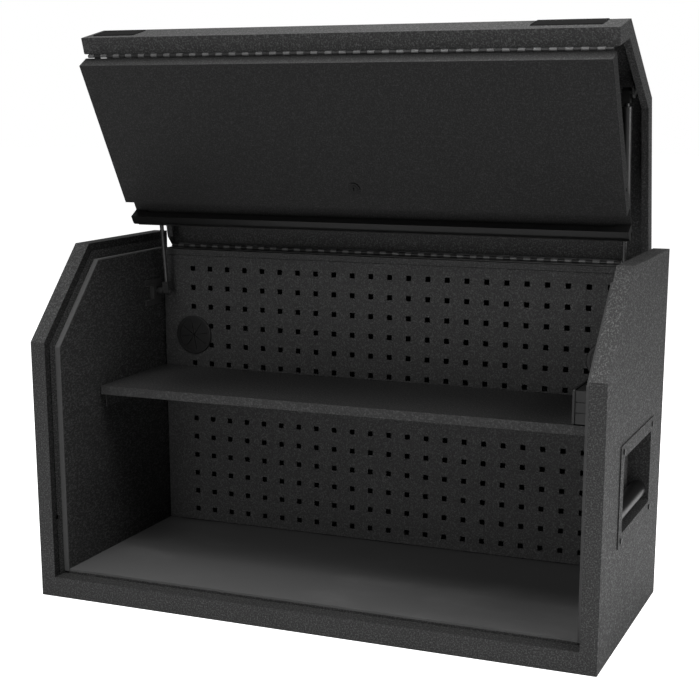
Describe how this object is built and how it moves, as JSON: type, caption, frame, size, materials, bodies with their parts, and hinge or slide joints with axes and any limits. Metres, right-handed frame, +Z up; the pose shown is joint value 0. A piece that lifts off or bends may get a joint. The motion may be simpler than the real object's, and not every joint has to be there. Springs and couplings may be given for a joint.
{
  "type": "top tool chest",
  "caption": "Black steel top tool chest with a lifting lid, a folding front door, a pegboard back and a fixed shelf.",
  "frame": {"origin": "middle of the base, on the surface it stands on", "axes": "+X to the right seen from the front, +Y to the back, +Z up"},
  "size_m": [1.0486, 0.4755, 1.0189],
  "materials": {
    "black_powder_coat": "matte fine-textured powder coat",
    "satin_black": "satin",
    "mat_rubber": "matte smooth",
    "seal_foam": "matte foam",
    "black_rubber": "matte",
    "blackened_steel": "satin black zinc",
    "hinge_steel": "dark brushed",
    "black_plastic": "fine matte",
    "plate_black": "gloss",
    "zinc_steel": "zinc plated",
    "lock_chrome": "polished",
    "strut_rod_steel": "dark nitrided",
    "strut_black": "satin"
  },
  "bodies": {
    "cabinet": {"left_side_panel": "black_powder_coat", "right_side_panel": "black_powder_coat", "left_liner": "black_powder_coat", "right_liner": "black_powder_coat", "floor_pan": "black_powder_coat", "bottom_sheet": "black_powder_coat", "back_sheet": "black_powder_coat", "back_rail": "black_powder_coat", "pegboard": "black_powder_coat", "left_grommet": "black_rubber", "right_grommet": "black_rubber", "shelf": "black_powder_coat", "left_shelf_bracket": "black_powder_coat", "right_shelf_bracket": "black_powder_coat", "floor_mat": "mat_rubber", "left_seal": "seal_foam", "right_seal": "seal_foam", "left_handle_plate": "black_powder_coat", "right_handle_plate": "black_powder_coat", "left_handle_tray": "black_powder_coat", "right_handle_tray": "black_powder_coat", "left_handle_grip": "satin_black", "right_handle_grip": "satin_black", "handle_screws": "blackened_steel", "left_strut_bracket": "blackened_steel", "right_strut_bracket": "blackened_steel", "power_strip_case": "black_plastic", "power_strip_face": "black_plastic", "back_hinge_fixed_leaf": "hinge_steel", "back_hinge_pin": "hinge_steel"},
    "lid": {"lid_shell": "black_powder_coat", "left_lid_end": "black_powder_coat", "right_lid_end": "black_powder_coat", "back_hinge_lid_leaf": "hinge_steel", "back_hinge_screws": "blackened_steel", "door_hinge_lid_leaf": "hinge_steel", "door_hinge_pin": "hinge_steel", "left_name_plate": "plate_black", "right_name_plate": "plate_black", "left_lid_bracket": "blackened_steel", "right_lid_bracket": "blackened_steel", "left_lid_stiffener": "black_powder_coat", "right_lid_stiffener": "black_powder_coat"},
    "door": {"door_face": "black_powder_coat", "door_inner_panel": "black_powder_coat", "door_hinge_door_leaf": "hinge_steel", "door_bar": "satin_black", "left_bar_end": "satin_black", "right_bar_end": "satin_black", "lock_housing": "lock_chrome"},
    "lock": {"lock_plug": "lock_chrome", "lock_cam": "zinc_steel"},
    "left_rod": {"left_lock_rod": "zinc_steel"},
    "right_rod": {"right_lock_rod": "zinc_steel"},
    "left_strut_lower": {"left_strut_rod": "strut_rod_steel"},
    "right_strut_lower": {"right_strut_rod": "strut_rod_steel"},
    "left_strut_upper": {"left_strut_tube": "strut_black"},
    "right_strut_upper": {"right_strut_tube": "strut_black"}
  },
  "joints": [
    {"name": "lid_hinge", "type": "hinge", "parent": "cabinet", "child": "lid", "pos_m": [0, 0.2209, 0.6069], "axis": [1, 0, 0], "range_deg": [0, 78.4]},
    {"name": "door_hinge", "type": "hinge", "parent": "lid", "child": "door", "pos_m": [0, -0.06975, 0.97048], "axis": [-1, 0, 0], "range_deg": [0, 108.4]},
    {"name": "lock_turn", "type": "hinge", "parent": "door", "child": "lock", "pos_m": [0, 0.02785, 0.74099], "axis": [0, 0.8669, 0.4985], "range_deg": [0, 91]},
    {"name": "left_lock_rod_slide", "type": "slide", "parent": "door", "child": "left_rod", "axis": [-1, 0, 0], "range_m": [0, 0.01556]},
    {"name": "left_strut_swing", "type": "hinge", "parent": "cabinet", "child": "left_strut_lower", "pos_m": [-0.457, 0.16, 0.521], "axis": [1, 0, 0], "range_deg": [0, 73.9]},
    {"name": "left_strut_slide", "type": "slide", "parent": "left_strut_lower", "child": "left_strut_upper", "axis": [0, 0.1117, -0.9937], "range_m": [0, 0.1311]},
    {"name": "right_lock_rod_slide", "type": "slide", "parent": "door", "child": "right_rod", "axis": [1, 0, 0], "range_m": [0, 0.0165]},
    {"name": "right_strut_swing", "type": "hinge", "parent": "cabinet", "child": "right_strut_lower", "pos_m": [0.457, 0.16, 0.521], "axis": [1, 0, 0], "range_deg": [0, 73.9]},
    {"name": "right_strut_slide", "type": "slide", "parent": "right_strut_lower", "child": "right_strut_upper", "axis": [0, 0.1117, -0.9937], "range_m": [0, 0.1311]}
  ],
  "couplings": [
    {"joint": "door_hinge", "follows": "lid_hinge", "ratio": 1.3814},
    {"joint": "left_strut_swing", "follows": "lid_hinge", "ratio": 0.94033},
    {"joint": "left_strut_slide", "follows": "lid_hinge", "m_per_rad": 0.095436},
    {"joint": "right_strut_swing", "follows": "lid_hinge", "ratio": 0.94033},
    {"joint": "right_strut_slide", "follows": "lid_hinge", "m_per_rad": 0.095436},
    {"joint": "lock_turn", "follows": "left_lock_rod_slide", "rad_per_m": 100.95},
    {"joint": "right_lock_rod_slide", "follows": "left_lock_rod_slide", "ratio": 1}
  ]
}
